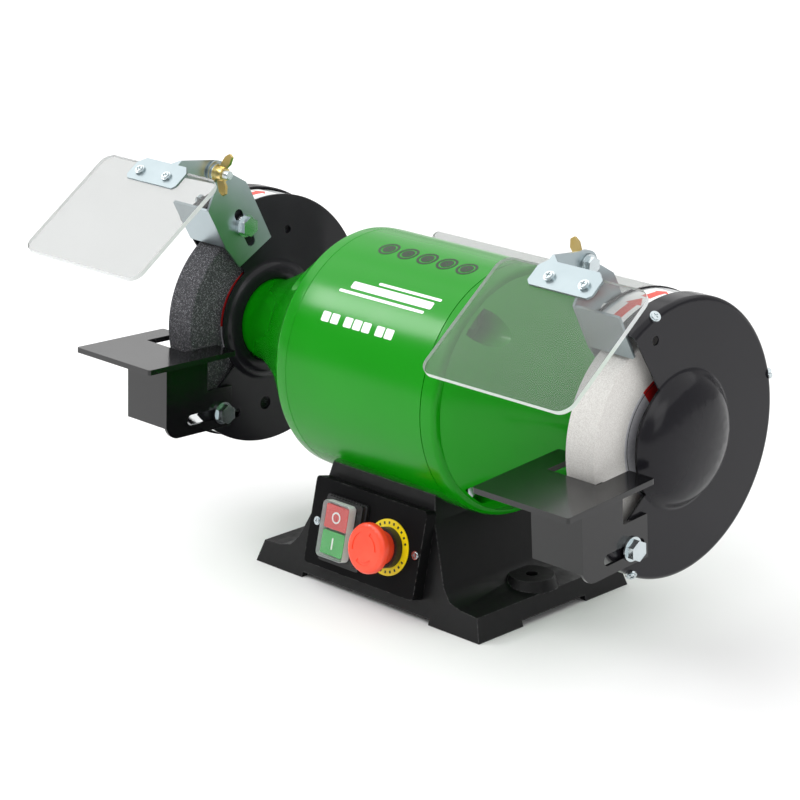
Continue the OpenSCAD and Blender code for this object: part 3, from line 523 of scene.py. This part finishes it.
def on_front(bm, x, s, out):
    """Moves a flat mesh onto the sloping front face: its Y runs up the slope, its Z points out."""
    sin, cos = math.sin(FRONT_SLOPE), math.cos(FRONT_SLOPE)
    for v in bm.verts:
        up, away = s + v.co.y, out + v.co.z
        v.co = Vector((x + v.co.x, BASE_FRONT + up * sin - away * cos, up * cos + away * sin))
    return bm


def make_motor_print():
    """Plain stripes, blocks and rings stand where the tube is printed."""
    stripes_angle, blocks_angle, rings_angle = 131, 148.5, 104
    stripes = [bar(22, -6.6, 60, 2.2, 0.9), bar(9, -0.6, 78, 6.0, 1.4), bar(3, 5.8, 82, 2.2, 0.9)]
    bm = wrapped(stripes, TUBE_RADIUS, PRINT_THICK, stripes_angle)
    add_piece("motor_stripes", bm, "stand", PRINT_WHITE)
    blocks = [bar(x, 0, 7.6, 7.4, 1.0) for x in (-38, -29, -16, -7, 2, 15, 24)]
    bm = wrapped(blocks, TUBE_RADIUS, PRINT_THICK, blocks_angle)
    add_piece("motor_blocks", bm, "stand", PRINT_WHITE)
    for i in range(5):
        x = -30 + 18.8 * i
        bm = merged(flat_outline(ring_pieces(x, 0, 6.2, 8.0) + ring_pieces(x, 0, 0.6, 4.9)))
        bm = wrap(merged(thicken(bm, PRINT_THICK)), TUBE_RADIUS, rings_angle)
        add_piece(f"motor_ring_{i}", bm, "stand", PRINT_DARK)


def arrow_outline(start, end, half):
    """A straight arrow along the second axis."""
    head = start + (end - start) * 0.72
    return [(-half * 0.55, start), (half * 0.55, start), (half * 0.55, head), (half, head),
            (0, end), (-half, head), (-half * 0.55, head)]


def make_band_stickers():
    """A white paper with two plain red arrows on each guard band."""
    low, high = -29.0, 36.0
    paper_thick, top_angle = 0.1, 99
    for side, name in ((-1, "left"), (1, "right")):
        middle = side * BAND_MIDDLE
        paper = [bar(middle, (low + high) / 2, 21, high - low, 2)]
        bm = wrapped(paper, BAND_RADIUS, paper_thick, top_angle)
        add_piece(f"{name}_sticker", bm, "stand", PRINT_WHITE)
        arrows = [[(middle + x, y) for x, y in arrow_outline(start, end, 6.5)]
                  for start, end in ((32, -2), (-5, -26))]
        bm = wrapped(arrows, BAND_RADIUS + paper_thick, paper_thick, top_angle)
        add_piece(f"{name}_arrow", bm, "stand", PRINT_RED)


def make_switch_marks():
    """Generic off and on marks on the two keys."""
    stop_up, start_up, mark_thick = 55.9, 37.1, 0.15
    bm = merged(flat_outline(ring_pieces(0, 0, 3.0, 4.2)))
    bm = on_front(merged(thicken(bm, mark_thick)), SWITCH_X, stop_up, KEY_FACE)
    add_piece("stop_mark", bm, "stop_key", PRINT_WHITE)
    bm = flat_outline([bar(0, 0, 1.4, 8.5, 0.5)])
    bm = on_front(thicken(bm, mark_thick), SWITCH_X, start_up, KEY_FACE)
    add_piece("start_mark", bm, "start_key", PRINT_WHITE)


def make_estop_arrows():
    """Raised turning arrows on the emergency head and plain ticks on its ring."""
    bm = bmesh.new()
    for start in (0, 120, 240):
        a = math.radians(start + 84)
        out, along = Vector((math.cos(a), math.sin(a), 0)), Vector((-math.sin(a), math.cos(a), 0))
        corners = [out * r + along * t for r, t in ((8.4, 0), (13.0, 0), (10.7, 4.4))]
        bm.faces.new([bm.verts.new(corner) for corner in corners])
    bm = on_front(thicken(bm, 0.5), ESTOP_X, ESTOP_UP, ESTOP_FACE)
    add_piece("estop_arrow_tips", bm, "estop_turn", MATERIALS["estop_red"])
    outlines = []
    for i in range(24):
        if i % 12 in (0, 11):
            continue
        outlines += ring_pieces(0, 0, 16.4, 18.3, i * 15 + 3.5, i * 15 + 8.5, 2)
    bm = merged(thicken(merged(flat_outline(outlines)), 0.08))
    bm = on_front(bm, ESTOP_X, ESTOP_UP, ESTOP_RING_FACE)
    add_piece("estop_ring_ticks", bm, "stand", PRINT_DARK)


def make_threads():
    """Rolled thread crests on the free ends of the pivot bolts."""
    segments, pitch, start, end = 24, 1.0, 163.3, 168.2
    root, crest, half_crest = 2.9, 3.28, 0.42
    for side, name in ((-1, "left"), (1, "right")):
        bm = bmesh.new()
        rows = []
        count = int((end - start) / pitch * segments)
        for i in range(count + 1):
            a = 2 * math.pi * i / segments
            x = start + pitch * i / segments
            row = []
            for dx, radius in ((-half_crest, root), (0, crest), (half_crest, root)):
                row.append(bm.verts.new((side * (x + dx), PIVOT_Y + radius * math.cos(a),
                                         SPINDLE_Z + PIVOT_RISE + radius * math.sin(a))))
            rows.append(row)
        for first, second in zip(rows, rows[1:]):
            for j in (0, 1):
                bm.faces.new((first[j], first[j + 1], second[j + 1], second[j]))
            bm.faces.new((first[2], first[0], second[0], second[2]))
        bm.faces.new(rows[0])
        bm.faces.new(list(reversed(rows[-1])))
        add_piece(f"{name}_pivot_thread", bm, f"{name}_bracket", MATERIALS["zinc_plate"])


make_motor_print()
make_band_stickers()
make_switch_marks()
make_estop_arrows()
make_threads()


# ---------------------------------------------------------------- stage

def make_camera():
    data = bpy.data.cameras.new("camera")
    data.lens = 125.7
    data.sensor_width = 36.0
    data.shift_x = -0.0026
    data.shift_y = -0.0116
    data.clip_start = 0.05
    data.clip_end = 50.0
    camera = bpy.data.objects.new("camera", data)
    bpy.context.scene.collection.objects.link(camera)
    camera.location = (1.3163, -1.3653, 0.7507)
    aim = Vector((-0.03876, 0.0, 0.12993)) - camera.location
    camera.rotation_mode = "QUATERNION"
    camera.rotation_quaternion = aim.to_track_quat("-Z", "Y")
    bpy.context.scene.camera = camera


def make_floor():
    bm = bmesh.new()
    bmesh.ops.create_grid(bm, x_segments=8, y_segments=8, size=12)
    mesh = bpy.data.meshes.new("floor")
    bm.to_mesh(mesh)
    bm.free()
    floor = bpy.data.objects.new("floor", mesh)
    floor.location.z = -0.0002
    pale = (0.9, 0.9, 0.9)
    s = Shader("floor_pale", pale, 0.8, specular=0.2)
    s.feed("Base Color", s.mix(s.noise(6, 2, 0.5), pale, (0.92, 0.92, 0.92)))
    mesh.materials.append(s.material)
    bpy.context.scene.collection.objects.link(floor)


LIGHT_AIM = Vector((0, 0, 0.15))


def make_light(name, place, size, power):
    """A soft rectangle of light aimed at the middle of the object."""
    data = bpy.data.lights.new(name, "AREA")
    data.shape = "RECTANGLE"
    data.size, data.size_y = size
    data.energy = power
    light = bpy.data.objects.new(name, data)
    light.location = place
    light.rotation_mode = "QUATERNION"
    light.rotation_quaternion = (LIGHT_AIM - Vector(place)).to_track_quat("-Z", "Y")
    bpy.context.scene.collection.objects.link(light)


def make_ceiling(strength):
    """A very wide soft light straight down, so that the floor is evenly white."""
    data = bpy.data.lights.new("ceiling", "SUN")
    data.energy = strength
    data.angle = math.radians(120)
    light = bpy.data.objects.new("ceiling", data)
    light.location = (0, 0, 3)
    bpy.context.scene.collection.objects.link(light)


def make_world():
    world = bpy.data.worlds.new("studio")
    bpy.context.scene.world = world
    world.use_nodes = True
    background = world.node_tree.nodes["Background"]
    background.inputs["Color"].default_value = (1.0, 1.0, 1.0, 1.0)
    background.inputs["Strength"].default_value = 0.5


make_camera()
make_floor()
make_world()
make_ceiling(2.0)
make_light("key", (-0.6, -1.5, 1.9), (1.2, 1.2), 10)
make_light("softbox", (-1.3, -0.4, 1.6), (1.4, 1.4), 4)
make_light("strip", (-1.45, -0.92, 1.5), (0.5, 0.5), 9)
make_light("back_panel", (-1.3, 1.2, 0.8), (1.6, 0.7), 2)
make_light("right_fill", (1.9, -0.6, 1.2), (1.0, 1.4), 6)
bpy.context.scene.view_settings.view_transform = "Standard"
bpy.context.scene.view_settings.look = "None"
